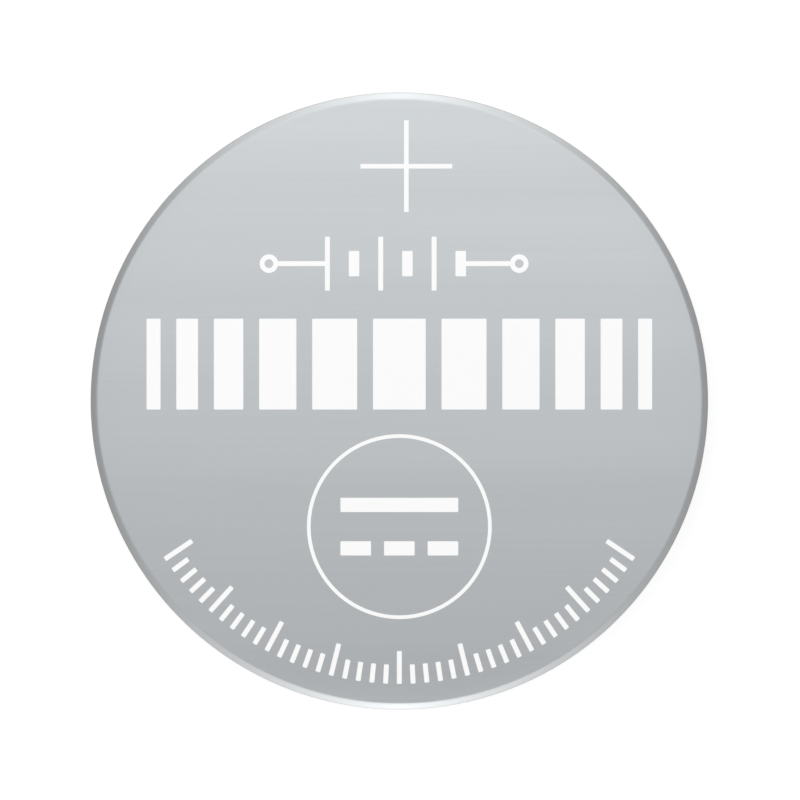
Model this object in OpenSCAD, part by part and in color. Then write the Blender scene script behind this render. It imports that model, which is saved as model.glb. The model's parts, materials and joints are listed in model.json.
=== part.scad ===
/* [Cell] */
// Outside diameter of the cell
cell_d = 20; // [12:0.1:30]
// Overall height, from the negative face to the positive face
cell_h = 3.2; // [2.6:0.1:6]

/* [Positive can] */
// Sheet thickness of the positive can
can_t = 0.25; // [0.18:0.01:0.3]
// Outside radius where the positive face turns into the wall
can_corner_r = 0.3; // [0.3:0.05:0.6]
// Edge rounding on the outside of the crimped lip
lip_edge_r = 0.07; // [0.03:0.01:0.12]
// Height of the negative face below the lowest point of the crimp
terminal_step = 0.12; // [0.1:0.01:0.3]

/* [Negative cap] */
// Sheet thickness of the negative cap
cap_t = 0.25; // [0.18:0.01:0.3]
// Outside radius round the edge of the negative face
cap_corner_r = 0.4; // [0.3:0.05:0.5]
// Radius in the corner between the wall of the negative face and the shoulder
neck_r = 0.1; // [0.05:0.01:0.15]
// Flat width of the shoulder that the crimp presses on
shoulder_w = 0.15; // [0.05:0.01:0.5]
// Inside radius where the shoulder turns into the skirt
shoulder_r = 0.1; // [0.05:0.01:0.2]

/* [Gasket] */
// Thickness of the gasket between the can and the cap
gasket_t = 0.3; // [0.2:0.01:0.4]
// Thickness of the gasket between the end of the skirt and the positive face
gasket_floor_t = 0.45; // [0.2:0.05:0.8]
// Thickness of the gasket's inner wall, inside the skirt
gasket_inner_t = 0.45; // [0.2:0.05:0.8]
// Open height between the shoulder and the end of the gasket's inner wall
gasket_inner_gap = 0.5; // [0.1:0.05:0.8]
// Width of the gasket ring that shows between the lip and the cap
seal_w = 0.18; // [0.16:0.01:0.3]
// Depth of that ring below the outside of the lip
seal_sink = 0.07; // [0.02:0.01:0.15]
// Edge rounding on that ring
seal_edge_r = 0.06; // [0.02:0.01:0.08]

/* [Separator] */
// Thickness of the separator
separator_t = 0.15; // [0.05:0.01:0.2]
// Height of the separator's rim above its floor
separator_rim_h = 0.6; // [0.3:0.05:1]
// Inside radius where the separator turns up round the pellet
separator_bend_r = 0.1; // [0.05:0.01:0.2]
// Gap between the separator's rim and the nearest wall round it
separator_gap = 0.2; // [0.05:0.05:1]

/* [Electrodes] */
// Thickness of the lithium disc
lithium_t = 0.6; // [0.2:0.05:0.9]
// Gap between the lithium disc and the wall of the cap round it
lithium_gap = 0.8; // [0.3:0.1:3]
// Sheet thickness of the ring round the cathode pellet
ring_t = 0.15; // [0.1:0.01:0.2]
// Height of that ring
ring_h = 0.9; // [0.4:0.05:1.1]
// Width of the ring's flange, which lies against the positive face
ring_flange_w = 0.9; // [0.4:0.05:2]
// Inside radius of the bend between the ring's wall and its flange
ring_bend_r = 0.1; // [0.05:0.01:0.2]

/* [Hidden] */
$fn = 128;

// How far a cutting shape runs past what it cuts
past = 1;

cell_r = cell_d / 2;
// The bends of the cap, gasket and can at the crimp share one centre, so that they nest
cap_bend_r = shoulder_r + cap_t;
gasket_bend_r = cap_bend_r + gasket_t;
crimp_r = gasket_bend_r + can_t;
crimp_centre = [cell_r - crimp_r, terminal_step + crimp_r];

skirt_r = crimp_centre.x + cap_bend_r;
shoulder_z = crimp_centre.y - cap_bend_r;
neck_centre = [crimp_centre.x - shoulder_w, shoulder_z - neck_r];
cap_face_r = neck_centre.x - neck_r;
lip_r = cap_face_r + seal_w;

// The inside of the positive face, which the pellet, the ring and the gasket lie against
can_floor_z = cell_h - can_t;
skirt_end_z = can_floor_z - gasket_floor_t;
gasket_bore_r = skirt_r - cap_t - gasket_inner_t;
gasket_inner_end_z = shoulder_z + cap_t + gasket_inner_gap;

// The stack in the room inside: the lithium lies on the cap, then the separator and the pellet
room_r = min(cap_face_r - cap_t, gasket_bore_r);
separator_z = cap_t + lithium_t;
pellet_z = separator_z + separator_t;
lithium_r = cap_face_r - cap_t - lithium_gap;
separator_r = room_r - separator_gap;
pellet_r = separator_r - separator_t - separator_bend_r;

// Every profile is half of a section through the cell: x is the radius and y is the height

// What lies outside a rounded corner of that centre and radius, on the side [+-1, +-1] of the centre
module outside_corner(centre, r, side) {
    reach = r + past;
    translate(centre)
        difference() {
            translate([min(0, side.x * reach), min(0, side.y * reach)]) square(reach);
            circle(r = r);
        }
}

// A disc with its lower and upper edges rounded; a radius of 0 leaves the edge sharp
module disc_profile(r, z_low, z_high, r_low, r_high) {
    difference() {
        translate([0, z_low]) square([r, z_high - z_low]);
        if (r_low > 0) outside_corner([r - r_low, z_low + r_low], r_low, [1, -1]);
        if (r_high > 0) outside_corner([r - r_high, z_high - r_high], r_high, [1, 1]);
    }
}

// All that the can encloses, with an inset of 0 for its outside or can_t for its inside
module can_outline(inset) {
    disc_profile(
        cell_r - inset, terminal_step + inset, cell_h - inset,
        crimp_r - inset, can_corner_r - inset
    );
}

// All that the cap encloses up to top_z, with an inset of 0 for its outside or cap_t for its inside
module cap_outline(inset, top_z) {
    disc_profile(cap_face_r - inset, inset, top_z, cap_corner_r - inset, 0);
    difference() {
        translate([0, neck_centre.y]) square([skirt_r - inset, top_z - neck_centre.y]);
        translate(neck_centre) circle(r = neck_r + inset);
        translate(neck_centre - [0, past]) square([skirt_r, past + neck_r + inset]);
        outside_corner(crimp_centre, cap_bend_r - inset, [1, -1]);
    }
}

module can_profile() {
    difference() {
        can_outline(0);
        can_outline(can_t);
        translate([0, terminal_step - past]) square([lip_r, past + can_t + lip_edge_r]);
        outside_corner([lip_r + lip_edge_r, terminal_step + lip_edge_r], lip_edge_r, [-1, -1]);
    }
}

module cap_profile() {
    difference() {
        cap_outline(0, skirt_end_z);
        cap_outline(cap_t, skirt_end_z + past);
    }
}

// The gasket's end, squeezed out between the lip and the cap
module seal_profile() {
    end_z = terminal_step + seal_sink;
    difference() {
        translate([cap_face_r, end_z]) square([seal_w, can_t]);
        outside_corner([cap_face_r + seal_edge_r, end_z + seal_edge_r], seal_edge_r, [-1, -1]);
        outside_corner([lip_r - seal_edge_r, end_z + seal_edge_r], seal_edge_r, [1, -1]);
    }
}

// The gasket fills the can, apart from the cap, the room inside the cap and the gasket's own bore
module gasket_profile() {
    difference() {
        union() {
            can_outline(can_t);
            seal_profile();
        }
        cap_profile();
        cap_outline(0, gasket_inner_end_z);
        square([gasket_bore_r, cell_h]);
    }
}

module separator_profile() {
    rim_z = pellet_z + separator_rim_h;
    difference() {
        disc_profile(separator_r, separator_z, rim_z, separator_bend_r + separator_t, 0);
        disc_profile(separator_r - separator_t, pellet_z, rim_z + past, separator_bend_r, 0);
    }
}

module ring_profile() {
    ring_z = can_floor_z - ring_h;
    difference() {
        disc_profile(pellet_r, ring_z, can_floor_z, 0, ring_bend_r + ring_t);
        disc_profile(pellet_r - ring_t, ring_z - past, can_floor_z - ring_t, 0, ring_bend_r);
        translate([0, ring_z - past]) square([pellet_r - ring_flange_w, ring_h + 2 * past]);
    }
}

// The pellet is pressed into its ring, so the two are flush at the top and round the side
module pellet_profile() {
    difference() {
        disc_profile(pellet_r, pellet_z, can_floor_z, 0, ring_bend_r + ring_t);
        ring_profile();
    }
}

// Deep-drawn steel cup whose edge is crimped in over the gasket
module positive_can() {
    color([0.75, 0.76, 0.77]) rotate_extrude() can_profile();
}

// Moulded ring with a groove for the cap's skirt, folded over the shoulder by the crimp
module gasket() {
    color([0.86, 0.87, 0.85]) rotate_extrude() gasket_profile();
}

// Stamped steel cap: negative face, neck, shoulder and skirt in one sheet
module negative_cap() {
    color([0.70, 0.71, 0.71]) rotate_extrude() cap_profile();
}

// Manganese dioxide and graphite, pressed into a tablet
module cathode_pellet() {
    color([0.09, 0.09, 0.10]) rotate_extrude() pellet_profile();
}

// Steel ring that holds the pellet's edge and carries its current to the can
module cathode_ring() {
    color([0.62, 0.63, 0.64]) rotate_extrude() ring_profile();
}

// Porous sheet, pressed into a shallow cup that the pellet stands in
module separator() {
    color([0.94, 0.94, 0.92]) rotate_extrude() separator_profile();
}

// Lithium disc, pressed onto the inside of the cap
module lithium_anode() {
    color([0.64, 0.66, 0.70]) translate([0, 0, cap_t]) cylinder(r = lithium_r, h = lithium_t);
}

positive_can();
gasket();
negative_cap();
cathode_pellet();
cathode_ring();
separator();
lithium_anode();
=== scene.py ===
import json
import math

import bmesh
import bpy
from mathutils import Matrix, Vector


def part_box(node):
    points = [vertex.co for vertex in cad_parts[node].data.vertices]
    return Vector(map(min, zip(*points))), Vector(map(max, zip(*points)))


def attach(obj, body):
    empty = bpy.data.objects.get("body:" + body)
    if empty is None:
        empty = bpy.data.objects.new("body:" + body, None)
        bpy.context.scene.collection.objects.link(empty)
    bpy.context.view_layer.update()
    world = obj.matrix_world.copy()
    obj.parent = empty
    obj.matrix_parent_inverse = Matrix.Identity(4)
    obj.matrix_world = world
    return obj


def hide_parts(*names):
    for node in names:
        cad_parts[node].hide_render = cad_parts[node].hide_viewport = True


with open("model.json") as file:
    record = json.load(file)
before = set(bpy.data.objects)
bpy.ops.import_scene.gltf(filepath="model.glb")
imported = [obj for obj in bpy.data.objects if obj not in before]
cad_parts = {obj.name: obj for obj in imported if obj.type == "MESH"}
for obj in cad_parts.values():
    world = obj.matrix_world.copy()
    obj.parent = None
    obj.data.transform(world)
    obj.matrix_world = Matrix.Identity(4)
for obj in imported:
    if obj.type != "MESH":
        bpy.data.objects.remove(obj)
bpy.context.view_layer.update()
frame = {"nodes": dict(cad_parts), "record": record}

MM = 0.001
BODY = "root"

can_low, can_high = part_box("positive_can")
CELL_R = (can_high.x - can_low.x) / 2
FACE_Z = can_high.z

# The rim mount is the straight wall, and the rounded edge reaches from its top to the positive face
rim = next(mount for mount in frame["record"]["mounts"] if mount["name"] == "rim")
EDGE_R = FACE_Z - rim["pos_m"][2] - rim["dims"]["length_mm"] / 2 * MM

# The photograph: its side in pixels, and the circle that the cell's outline makes in it
PHOTO_SIDE = 800
OUTLINE_X, OUTLINE_Y, OUTLINE_R = 399.35, 401.02, 308.85

LENS_MM, SENSOR_MM = 85, 36
CLIP_SPAN = 100


# Camera

def add_camera():
    """Straight over the positive face, with +Y up, so that the outline lies as in the photograph."""
    data = bpy.data.cameras.new("camera")
    data.lens = LENS_MM
    data.sensor_width = SENSOR_MM
    data.dof.use_dof = False
    camera = bpy.data.objects.new("camera", data)
    bpy.context.scene.collection.objects.link(camera)
    metres_per_pixel = CELL_R / OUTLINE_R
    distance = PHOTO_SIDE * metres_per_pixel * LENS_MM / SENSOR_MM
    # The outline is where a line of sight touches the rounded edge, a little below the face
    slope = math.atan(CELL_R / distance)
    outline_z = FACE_Z - EDGE_R * (1 - math.sin(slope))
    camera.location = (
        (PHOTO_SIDE / 2 - OUTLINE_X) * metres_per_pixel,
        (OUTLINE_Y - PHOTO_SIDE / 2) * metres_per_pixel,
        outline_z + distance,
    )
    data.clip_start = distance / CLIP_SPAN
    data.clip_end = distance * CLIP_SPAN
    bpy.context.scene.camera = camera


# Node trees: short names for what every material below uses

class Tree:
    # The Mix node repeats its sockets for each kind of data, so these go by index
    SHARE, NUMBER_A, NUMBER_B, COLOUR_A, COLOUR_B = 0, 2, 3, 6, 7
    NUMBER_OUT, COLOUR_OUT = 0, 2

    def __init__(self, tree):
        self.nodes = tree.nodes
        self.links = tree.links
        self.nodes.clear()

    def add(self, kind, inputs=None, **settings):
        """A new node, each of its inputs linked where it is given a socket and set where not."""
        node = self.nodes.new(kind)
        for name, value in settings.items():
            setattr(node, name, value)
        for key, value in (inputs or {}).items():
            if isinstance(value, bpy.types.NodeSocket):
                self.links.new(value, node.inputs[key])
            else:
                node.inputs[key].default_value = value
        return node

    def math(self, operation, a, b=0.0, clamp=False):
        node = self.add("ShaderNodeMath", {0: a, 1: b}, operation=operation, use_clamp=clamp)
        return node.outputs[0]

    def ramp(self, value, low, high, to_low=0.0, to_high=1.0):
        """The value, taken from low and high to to_low and to_high, and kept between those."""
        ends = {"From Min": low, "From Max": high, "To Min": to_low, "To Max": to_high}
        return self.add("ShaderNodeMapRange", {"Value": value, **ends}).outputs[0]

    def mix(self, share, a, b):
        inputs = {self.SHARE: share, self.COLOUR_A: a, self.COLOUR_B: b}
        return self.add("ShaderNodeMix", inputs, data_type="RGBA").outputs[self.COLOUR_OUT]

    def mix_number(self, share, a, b):
        inputs = {self.SHARE: share, self.NUMBER_A: a, self.NUMBER_B: b}
        return self.add("ShaderNodeMix", inputs, data_type="FLOAT").outputs[self.NUMBER_OUT]

    def noise(self, vector, scale=1.0, detail=2.0, roughness=0.5):
        inputs = {"Vector": vector, "Scale": scale, "Detail": detail, "Roughness": roughness}
        return self.add("ShaderNodeTexNoise", inputs).outputs["Fac"]


def new_material(name):
    material = bpy.data.materials.new(name)
    material.use_nodes = True
    return material, Tree(material.node_tree)


def shade(tree, colour, roughness, height, relief, constants=None):
    """A Principled surface with that relief in metres; the constants are set on its own sockets."""
    bump = tree.add("ShaderNodeBump", {"Strength": 1.0, "Distance": relief, "Height": height})
    shader = tree.add(
        "ShaderNodeBsdfPrincipled",
        {"Base Color": colour, "Roughness": roughness, "Normal": bump.outputs[0]},
    )
    for name, value in (constants or {}).items():
        shader.inputs[name].default_value = value
    tree.add("ShaderNodeOutputMaterial", {"Surface": shader.outputs[0]})


def waves(tree, x=1, y=1, z=1, start_y=0.0):
    """The object's own coordinates in waves of noise, so many to a millimetre, y from start_y on."""
    place = tree.add("ShaderNodeTexCoord").outputs["Object"]
    scaled = tree.add(
        "ShaderNodeVectorMath",
        {0: place, 1: (x / MM, y / MM, z / MM), 2: (0.0, start_y, 0.0)},
        operation="MULTIPLY_ADD",
    )
    return scaled.outputs[0]


def own_xyz(tree):
    """The object's own coordinates, each as a number."""
    place = tree.add("ShaderNodeTexCoord").outputs["Object"]
    return tree.add("ShaderNodeSeparateXYZ", {0: place}).outputs


def waves_round(tree, around, down):
    """The same round the cell's axis: waves to a radian, and waves to a millimetre of height."""
    x, y, z = own_xyz(tree)
    squares = tree.math("ADD", tree.math("MULTIPLY", x, x), tree.math("MULTIPLY", y, y))
    from_axis = tree.math("SQRT", squares)
    joined = tree.add("ShaderNodeCombineXYZ", {
        0: tree.math("MULTIPLY", tree.math("DIVIDE", x, from_axis), around),
        1: tree.math("MULTIPLY", tree.math("DIVIDE", y, from_axis), around),
        2: tree.math("MULTIPLY", z, down / MM),
    })
    return joined.outputs[0]


def faces_up(tree):
    """1 on faces square to the axis, 0 on the walls, and smooth between."""
    wall_cosine, face_cosine = 0.75, 0.95
    normal = tree.add("ShaderNodeNewGeometry").outputs["Normal"]
    height = tree.add("ShaderNodeSeparateXYZ", {0: normal}).outputs[2]
    return tree.ramp(tree.math("ABSOLUTE", height), wall_cosine, face_cosine)


# Materials

WHITE = (1.0, 1.0, 1.0)
COOL = (0.955, 1.0, 1.032)
WARM = (1.0, 0.98, 0.965)
METAL = {"Metallic": 1.0, "Specular Tint": (0.85, 0.85, 0.85, 1.0)}
# Most values of a noise lie between these
NOISE_LOW, NOISE_HIGH = 0.3, 0.7


def grey(level, tint=WHITE):
    return (level * tint[0], level * tint[1], level * tint[2], 1.0)


def around_level(tree, share, level, contrast):
    """A cool grey: below the level by the contrast where share is 0, and above it where it is 1."""
    dark, light = level * (1 - contrast), level * (1 + contrast)
    return tree.mix(share, grey(dark, COOL), grey(light, COOL))


def steel_sheet(name, level, rough):
    """Satin sheet: faint rolled grain and soft bands on the faces, plainer draw lines down the walls."""
    grain_waves, grain_range = {"x": 0.12, "y": 14, "z": 2}, (0.1, 0.9)
    draw_waves, draw_range = {"around": 110, "down": 0.3}, (0.2, 0.8)
    # The bands start where they lie most like the photograph's
    band_waves, band_range = {"x": 0.03, "y": 0.7, "z": 0.45, "start_y": 155.1}, (0.25, 0.75)
    fine = {"detail": 3.0, "roughness": 0.6}
    contrast, band_share, rough_spread, relief = 0.054, 0.35, 0.05, 0.0013 * MM

    material, tree = new_material(name)
    rolled = tree.ramp(tree.noise(waves(tree, **grain_waves), **fine), *grain_range)
    drawn = tree.ramp(tree.noise(waves_round(tree, **draw_waves), **fine), *draw_range)
    streak = tree.mix_number(faces_up(tree), drawn, rolled)
    band = tree.ramp(tree.noise(waves(tree, **band_waves), detail=1.0), *band_range)
    colour = around_level(tree, tree.mix_number(band_share, streak, band), level, contrast)
    roughness = tree.ramp(streak, 0.0, 1.0, rough - rough_spread, rough + rough_spread)
    shade(tree, colour, roughness, streak, relief, METAL)
    return material


def blasted_steel(name, level, rough):
    """The cap's finely blasted sheet: small pits over a slow drift in tone."""
    pit_waves, cloud_waves, cloud_share = 22.0, 0.5, 0.5
    contrast, rough_spread, relief = 0.10, 0.05, 0.008 * MM

    material, tree = new_material(name)
    pits = tree.noise(waves(tree), pit_waves, detail=3.0, roughness=0.7)
    cloud = tree.noise(waves(tree), cloud_waves)
    colour = around_level(tree, tree.mix_number(cloud_share, pits, cloud), level, contrast)
    roughness = tree.ramp(pits, NOISE_LOW, NOISE_HIGH, rough - rough_spread, rough + rough_spread)
    shade(tree, colour, roughness, pits, relief, METAL)
    return material


def natural_plastic(name):
    """Milky polypropylene with faint flow marks."""
    dark, light = (0.60, 0.61, 0.58, 1.0), (0.74, 0.75, 0.72, 1.0)
    smooth, dull, relief = 0.38, 0.5, 0.003 * MM
    gloss = {"IOR": 1.49}

    material, tree = new_material(name)
    flow = tree.noise(waves_round(tree, around=12, down=2.5), detail=3.0)
    roughness = tree.ramp(flow, NOISE_LOW, NOISE_HIGH, smooth, dull)
    shade(tree, tree.mix(flow, dark, light), roughness, flow, relief, gloss)
    return material


def white_ink(name):
    """Pad-printed white, with the slight unevenness of a thin coat."""
    thin, thick, coat_waves = grey(0.95), grey(0.99), 9.0
    smooth, dull, relief = 0.5, 0.62, 0.0008 * MM

    material, tree = new_material(name)
    coat = tree.noise(waves(tree), coat_waves, detail=3.0, roughness=0.6)
    roughness = tree.ramp(coat, NOISE_LOW, NOISE_HIGH, smooth, dull)
    shade(tree, tree.mix(coat, thin, thick), roughness, coat, relief)
    return material


def pressed_powder(name):
    """Black oxide with a few bright flakes of graphite."""
    oxide, graphite = grey(0.025), grey(0.12)
    grain_waves, flake_waves, flake_above = 14.0, 30.0, 0.68
    smooth, dull, relief = 0.55, 0.8, 0.01 * MM

    material, tree = new_material(name)
    grains = tree.noise(waves(tree), grain_waves, detail=4.0, roughness=0.7)
    flakes = tree.math("GREATER_THAN", tree.noise(waves(tree), flake_waves, detail=1.0), flake_above)
    roughness = tree.ramp(grains, NOISE_LOW, NOISE_HIGH, smooth, dull)
    shade(tree, tree.mix(flakes, oxide, graphite), roughness, grains, relief)
    return material


def felt(name):
    """White non-woven sheet: fibres that run along X and along Y."""
    shadow, fibre = (0.74, 0.74, 0.71, 1.0), (0.9, 0.9, 0.88, 1.0)
    along, across, through = 1.5, 16, 6
    smooth, dull, relief = 0.85, 0.95, 0.01 * MM
    fine = {"detail": 3.0, "roughness": 0.6}

    material, tree = new_material(name)
    along_x = tree.noise(waves(tree, along, across, through), **fine)
    along_y = tree.noise(waves(tree, across, along, through), **fine)
    fibres = tree.math("MAXIMUM", along_x, along_y)
    roughness = tree.ramp(fibres, NOISE_LOW, NOISE_HIGH, smooth, dull)
    shade(tree, tree.mix(fibres, shadow, fibre), roughness, fibres, relief)
    return material


def soft_metal(name):
    """Rolled lithium foil, dulled by its thin film."""
    bare, filmed = (0.50, 0.50, 0.52, 1.0), (0.62, 0.63, 0.66, 1.0)
    rolled_waves, film_waves = {"x": 0.3, "y": 8, "z": 2}, 0.8
    smooth, dull, relief = 0.4, 0.55, 0.002 * MM

    material, tree = new_material(name)
    rolled = tree.noise(waves(tree, **rolled_waves), detail=3.0, roughness=0.6)
    film = tree.noise(waves(tree), film_waves, detail=4.0)
    roughness = tree.ramp(film, NOISE_LOW, NOISE_HIGH, smooth, dull)
    shade(tree, tree.mix(film, bare, filmed), roughness, rolled, relief, METAL)
    return material


def dress_inner_nodes():
    finishes = {
        "cathode_pellet": pressed_powder("pellet_black_oxide"),
        "cathode_ring": steel_sheet("ring_rolled_steel", level=0.45, rough=0.38),
        "separator": felt("separator_non_woven"),
        "lithium_anode": soft_metal("lithium_foil"),
    }
    for node, material in finishes.items():
        slots = frame["nodes"][node].data.materials
        slots.clear()
        slots.append(material)


# The pieces that show are turned again, more finely, each from the section of its own solid

TURN_STEPS = 288
WELD = 0.0001 * MM
SHARP = math.radians(25)
STRAIGHT = math.radians(0.2)


def cut_to_section(mesh):
    """Leaves only the outline of the half section: the solid's cut at y = 0, on the side of +X."""
    bmesh.ops.remove_doubles(mesh, verts=mesh.verts, dist=WELD)
    for kept_side in ((1, 0, 0), (0, 1, 0)):
        everything = mesh.verts[:] + mesh.edges[:] + mesh.faces[:]
        bmesh.ops.bisect_plane(
            mesh, geom=everything, dist=WELD, plane_co=(0, 0, 0), plane_no=kept_side, clear_inner=True
        )
    bmesh.ops.delete(mesh, geom=mesh.faces[:], context="FACES_ONLY")
    off_plane = [v for v in mesh.verts if abs(v.co.y) > WELD]
    bmesh.ops.delete(mesh, geom=off_plane, context="VERTS")
    straight = [v for v in mesh.verts if v.calc_edge_angle(math.pi) < STRAIGHT]
    bmesh.ops.dissolve_verts(mesh, verts=straight)


def new_piece(name, mesh, material):
    """A piece on the cell's one body, with that mesh, which it frees, and that material."""
    bmesh.ops.recalc_face_normals(mesh, faces=mesh.faces)
    data = bpy.data.meshes.new(name)
    mesh.to_mesh(data)
    mesh.free()
    data.materials.append(material)
    piece = bpy.data.objects.new(name, data)
    bpy.context.scene.collection.objects.link(piece)
    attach(piece, BODY)
    return piece


def turned(name, node, material):
    """A fine turning of one round solid, which it stands for."""
    mesh = bmesh.new()
    mesh.from_mesh(frame["nodes"][node].data)
    cut_to_section(mesh)
    bmesh.ops.spin(
        mesh, geom=mesh.verts[:] + mesh.edges[:], cent=(0, 0, 0), axis=(0, 0, 1),
        angle=2 * math.pi, steps=TURN_STEPS, use_merge=True,
    )
    bmesh.ops.remove_doubles(mesh, verts=mesh.verts, dist=WELD)
    piece = new_piece(name, mesh, material)
    piece.data.shade_smooth()
    piece.data.set_sharp_from_angle(angle=SHARP)
    piece.modifiers.new("flats_stay_flat", "WEIGHTED_NORMAL").keep_sharp = True
    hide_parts(node)


# Marks: white ink on the positive face, each a set of thin plates

INK_TOP = FACE_Z + 0.008 * MM
INK_BOTTOM = FACE_Z - 0.002 * MM
ARC_STEP = math.radians(3)
CORNER_STEPS = 4
THIN = 0.16 * MM
MARK_CORNER = 0.03 * MM


def add_prism(mesh, outline):
    """A plate of ink over a closed outline, given anticlockwise."""
    bottom, top = (
        [mesh.verts.new((x, y, z)) for x, y in outline] for z in (INK_BOTTOM, INK_TOP)
    )
    mesh.faces.new(reversed(bottom))
    mesh.faces.new(top)
    for i in range(len(outline)):
        j = (i + 1) % len(outline)
        mesh.faces.new((bottom[i], bottom[j], top[j], top[i]))


def add_band(mesh, centre, r_inner, r_outer):
    """A ring of ink."""
    count = round(2 * math.pi / ARC_STEP)
    section = (
        (r_inner, INK_BOTTOM), (r_outer, INK_BOTTOM), (r_outer, INK_TOP), (r_inner, INK_TOP)
    )
    loops = [
        [
            mesh.verts.new((
                centre[0] + r * math.cos(i * ARC_STEP), centre[1] + r * math.sin(i * ARC_STEP), z
            ))
            for i in range(count)
        ]
        for r, z in section
    ]
    for a, b in zip(loops, loops[1:] + loops[:1]):
        for i in range(count):
            j = (i + 1) % count
            mesh.faces.new((a[i], a[j], b[j], b[i]))


def rounded_bar(centre, size, corner_r=0.0, turn=0.0):
    """The outline of a bar of that size about its centre, turned anticlockwise."""
    half_x, half_y = size[0] / 2, size[1] / 2
    steps = CORNER_STEPS if corner_r > 0 else 0
    outline = []
    for side_x, side_y, start in ((1, 1, 0), (-1, 1, 90), (-1, -1, 180), (1, -1, 270)):
        for i in range(steps + 1):
            angle = math.radians(start + 90 * i / max(steps, 1))
            x = side_x * (half_x - corner_r) + corner_r * math.cos(angle)
            y = side_y * (half_y - corner_r) + corner_r * math.sin(angle)
            outline.append((
                centre[0] + x * math.cos(turn) - y * math.sin(turn),
                centre[1] + x * math.sin(turn) + y * math.cos(turn),
            ))
    return outline


def draw_plus(mesh):
    """The sign of the positive face, as one twelve-sided plate."""
    cx, cy, reach, half = 0.225 * MM, 7.57 * MM, 1.48 * MM, 0.075 * MM
    quarter = [(reach, -half), (reach, half), (half, half)]
    outline = []
    for turn in range(4):
        for x, y in quarter:
            for _ in range(turn):
                x, y = -y, x
            outline.append((cx + x, cy + y))
    add_prism(mesh, outline)


def draw_cell_symbol(mesh):
    """The circuit sign for a battery: long thin plates, short thick ones, leads and end rings."""
    cx, cy, width = -0.17 * MM, 4.43 * MM, 8.67 * MM
    pairs, pitch = 3, 0.86 * MM
    tall, short, thick = 1.74 * MM, 0.82 * MM, 0.34 * MM
    end_r = 0.30 * MM
    span = (2 * pairs - 1) * pitch
    for i in range(2 * pairs):
        size = (THIN, tall) if i % 2 == 0 else (thick, short)
        add_prism(mesh, rounded_bar((cx - span / 2 + i * pitch, cy), size, MARK_CORNER))
    # Each lead runs from the outer face of the last plate to the end ring
    for side, plate_w in ((-1, THIN), (1, thick)):
        end = cx + side * (width / 2 - end_r)
        add_band(mesh, (end, cy), end_r - THIN, end_r)
        near = cx + side * (span + plate_w) / 2
        far = end - side * end_r
        add_prism(mesh, rounded_bar(((near + far) / 2, cy), (abs(far - near), THIN)))


def draw_bars(mesh):
    """A bold row of bars that narrow from the middle outwards."""
    cy, height, gap = 1.19 * MM, 2.93 * MM, 0.51 * MM
    middle_w, narrower, pairs = 1.7 * MM, 0.25 * MM, 5
    add_prism(mesh, rounded_bar((0, cy), (middle_w, height), MARK_CORNER))
    edge = middle_w / 2
    for i in range(1, pairs + 1):
        width = middle_w - i * narrower
        cx = edge + gap + width / 2
        for side in (-1, 1):
            add_prism(mesh, rounded_bar((side * cx, cy), (width, height), MARK_CORNER))
        edge = cx + width / 2


def draw_direct_current(mesh):
    """The sign for direct current in a ring: a line over three dashes."""
    cx, cy, ring_r, ring_w = 0.0, -4.05 * MM, 2.98 * MM, 0.12 * MM
    length, thick, rise = 3.8 * MM, 0.46 * MM, 0.70 * MM
    dashes, gap = 3, 0.42 * MM
    add_band(mesh, (cx, cy), ring_r - ring_w, ring_r)
    add_prism(mesh, rounded_bar((cx, cy + rise), (length, thick), MARK_CORNER))
    dash = (length - (dashes - 1) * gap) / dashes
    for i in range(dashes):
        x = cx + (i - (dashes - 1) / 2) * (dash + gap)
        add_prism(mesh, rounded_bar((x, cy - rise), (dash, thick), MARK_CORNER))


def draw_dial(mesh):
    """Plain dial ticks along the lower edge, each fifth one long."""
    r_outer, long_tick, short_tick = 9.12 * MM, 1.06 * MM, 0.62 * MM
    spaces, long_every, span = 40, 5, math.radians(112)
    for i in range(spaces + 1):
        angle = -math.pi / 2 + span * (i / spaces - 0.5)
        length = short_tick if i % long_every else long_tick
        r = r_outer - length / 2
        centre = (r * math.cos(angle), r * math.sin(angle))
        add_prism(mesh, rounded_bar(centre, (length, THIN), MARK_CORNER, angle))


def add_marks():
    ink = white_ink("white_ink")
    marks = {
        "mark_plus": draw_plus,
        "mark_cell_symbol": draw_cell_symbol,
        "mark_bars": draw_bars,
        "mark_direct_current": draw_direct_current,
        "mark_dial": draw_dial,
    }
    for name, draw in marks.items():
        mesh = bmesh.new()
        draw(mesh)
        piece = new_piece(name, mesh, ink)


# Studio: a white floor and world and a soft lamp, and for gloss alone a close tent wall, a far
# horizon and a gradient panel overhead

def seen_only_in_gloss(piece):
    piece.visible_camera = False
    piece.visible_diffuse = False
    piece.visible_shadow = False
    piece.visible_transmission = False


def seen(tree):
    """1 where the background shows directly, in gloss or through glass, and 0 where it only lights."""
    paths = tree.add("ShaderNodeLightPath")
    direct = tree.math("ADD", paths.outputs["Is Camera Ray"], paths.outputs["Is Glossy Ray"])
    return tree.math("ADD", direct, paths.outputs["Is Transmission Ray"], clamp=True)


def emission_only(name, strength_of, tint=WHITE):
    """A material that only glows, with the strength that strength_of works out in its tree."""
    material, tree = new_material(name)
    glow = tree.add("ShaderNodeEmission", {"Color": grey(1.0, tint), "Strength": strength_of(tree)})
    tree.add("ShaderNodeOutputMaterial", {"Surface": glow.outputs[0]})
    return material


def stage_piece(name, vertices, faces, material):
    data = bpy.data.meshes.new(name)
    data.from_pydata(vertices, [], faces)
    data.materials.append(material)
    piece = bpy.data.objects.new(name, data)
    bpy.context.scene.collection.objects.link(piece)
    return piece


def add_sheet(name, half, z, faces_down, material):
    """A level square of the stage."""
    corners = [(-half, -half, z), (half, -half, z), (half, half, z), (-half, half, z)]
    face = (3, 2, 1, 0) if faces_down else (0, 1, 2, 3)
    return stage_piece(name, corners, [face], material)


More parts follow.
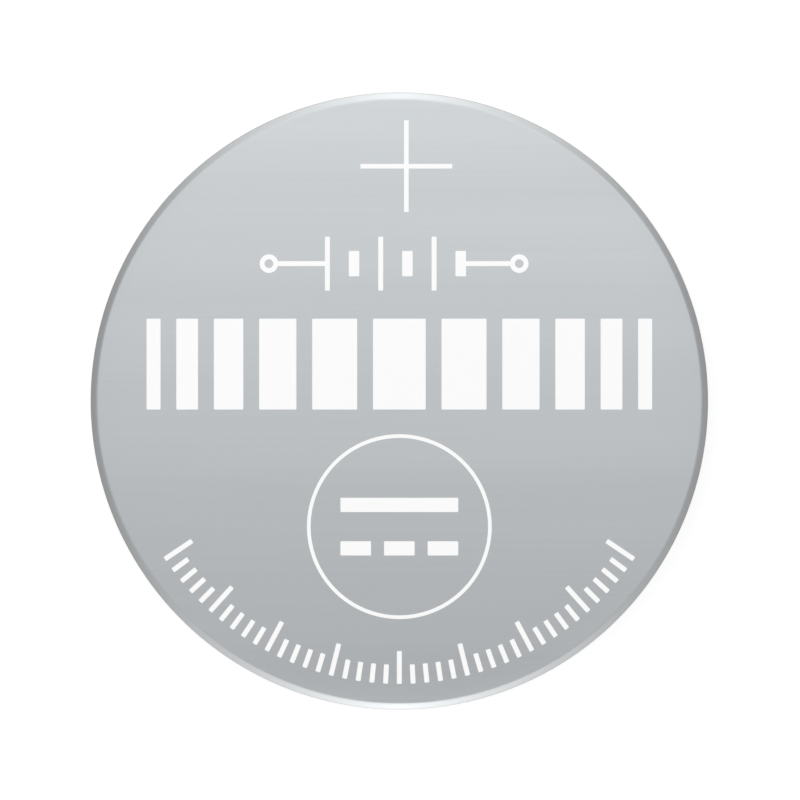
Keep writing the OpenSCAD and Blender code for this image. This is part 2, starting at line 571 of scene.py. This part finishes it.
def add_floor():
    half, z = 1.0, -0.01 * MM
    white, lift = 0.9, 0.35
    material, tree = new_material("studio_floor")
    diffuse = tree.add("ShaderNodeBsdfDiffuse", {"Color": grey(white)})
    glow = tree.add("ShaderNodeEmission", {"Strength": tree.math("MULTIPLY", seen(tree), lift)})
    both = tree.add("ShaderNodeAddShader", {0: diffuse.outputs[0], 1: glow.outputs[0]})
    tree.add("ShaderNodeOutputMaterial", {"Surface": both.outputs[0]})
    add_sheet("studio_floor", half, z, False, material)


def add_round_wall(name, radius, height, material):
    """An open cylinder that stands on the floor round the cell and shows only in gloss."""
    count = 96
    vertices, faces = [], []
    for i in range(count):
        angle = 2 * math.pi * i / count
        for z in (0.0, height):
            vertices.append((radius * math.cos(angle), radius * math.sin(angle), z))
        j = (i + 1) % count
        faces.append((2 * i, 2 * j, 2 * j + 1, 2 * i + 1))
    seen_only_in_gloss(stage_piece(name, vertices, faces, material))


def add_tent_wall():
    """Close round the rim: bright towards +Y and -Y, dim towards +X and -X, and duller below the rim."""
    radius, height = CELL_R + 0.6 * MM, FACE_Z + 1.55 * MM
    low_below, high_above = FACE_Z - 1.1 * MM, FACE_Z - 0.4 * MM
    ends, side, fall = 1.94, 0.572, 1.3
    low_ends, low_side = 1.12, 0.56
    near, far = 1.03, 0.97

    def strength(tree):
        x, y, z = own_xyz(tree)
        across = tree.math("DIVIDE", tree.math("ABSOLUTE", x), radius)
        inwards = tree.math("SUBTRACT", 1.0, across, clamp=True)
        high = tree.ramp(tree.math("POWER", inwards, fall), 0.0, 1.0, side, ends)
        low = tree.ramp(inwards, 0.0, 1.0, low_side, low_ends)
        rise = tree.ramp(z, low_below, high_above)
        lean = tree.ramp(y, -radius, radius, near, far)
        return tree.math("MULTIPLY", tree.mix_number(rise, low, high), lean)

    add_round_wall("tent_wall", radius, height, emission_only("tent_wall", strength, WARM))


def add_horizon():
    """A light grey far wall, so that what lies flat still shows against the white from a low view."""
    radius, height, strength = 60 * MM, 20 * MM, 0.72
    add_round_wall("horizon", radius, height, emission_only("horizon", lambda tree: strength))


def add_top_panel():
    """Brighter towards +Y, so that the face runs from light at the top to darker at the bottom."""
    half, z = 60 * MM, 63 * MM
    middle, slope, least = 1.02, 0.0135 / MM, 0.2

    def strength(tree):
        _, y, _ = own_xyz(tree)
        rise = tree.math("MULTIPLY", y, slope)
        return tree.math("MAXIMUM", tree.math("ADD", rise, middle), least)

    panel = add_sheet("top_panel", half, z, True, emission_only("top_panel", strength))
    seen_only_in_gloss(panel)


def add_lamp():
    """A wide disc over the upper left, aimed at the cell."""
    place, across, watts = Vector((-30, 45, 80)) * MM, 80 * MM, 0.008
    data = bpy.data.lights.new("soft_lamp", "AREA")
    data.shape = "DISK"
    data.size = across
    data.energy = watts
    lamp = bpy.data.objects.new("soft_lamp", data)
    bpy.context.scene.collection.objects.link(lamp)
    lamp.location = place
    lamp.rotation_euler = (-place).to_track_quat("-Z", "Y").to_euler()
    lamp.visible_camera = False
    lamp.visible_glossy = False


def light_world():
    """White where it is seen, and a little less as light."""
    as_light, as_seen = 0.9, 1.0
    world = bpy.data.worlds.new("studio")
    bpy.context.scene.world = world
    world.use_nodes = True
    tree = Tree(world.node_tree)
    strength = tree.mix_number(seen(tree), as_light, as_seen)
    light = tree.add("ShaderNodeBackground", {"Color": grey(1.0), "Strength": strength})
    tree.add("ShaderNodeOutputWorld", {"Surface": light.outputs[0]})


add_camera()
dress_inner_nodes()
turned(
    "can_fine", "positive_can", steel_sheet("can_satin_steel", level=0.525, rough=0.33)
)
turned(
    "cap_fine", "negative_cap", blasted_steel("cap_blasted_steel", level=0.48, rough=0.42)
)
turned("gasket_fine", "gasket", natural_plastic("gasket_polypropylene"))
add_marks()
add_floor()
add_tent_wall()
add_horizon()
add_top_panel()
add_lamp()
light_world()

bpy.context.scene.view_settings.view_transform = "Standard"
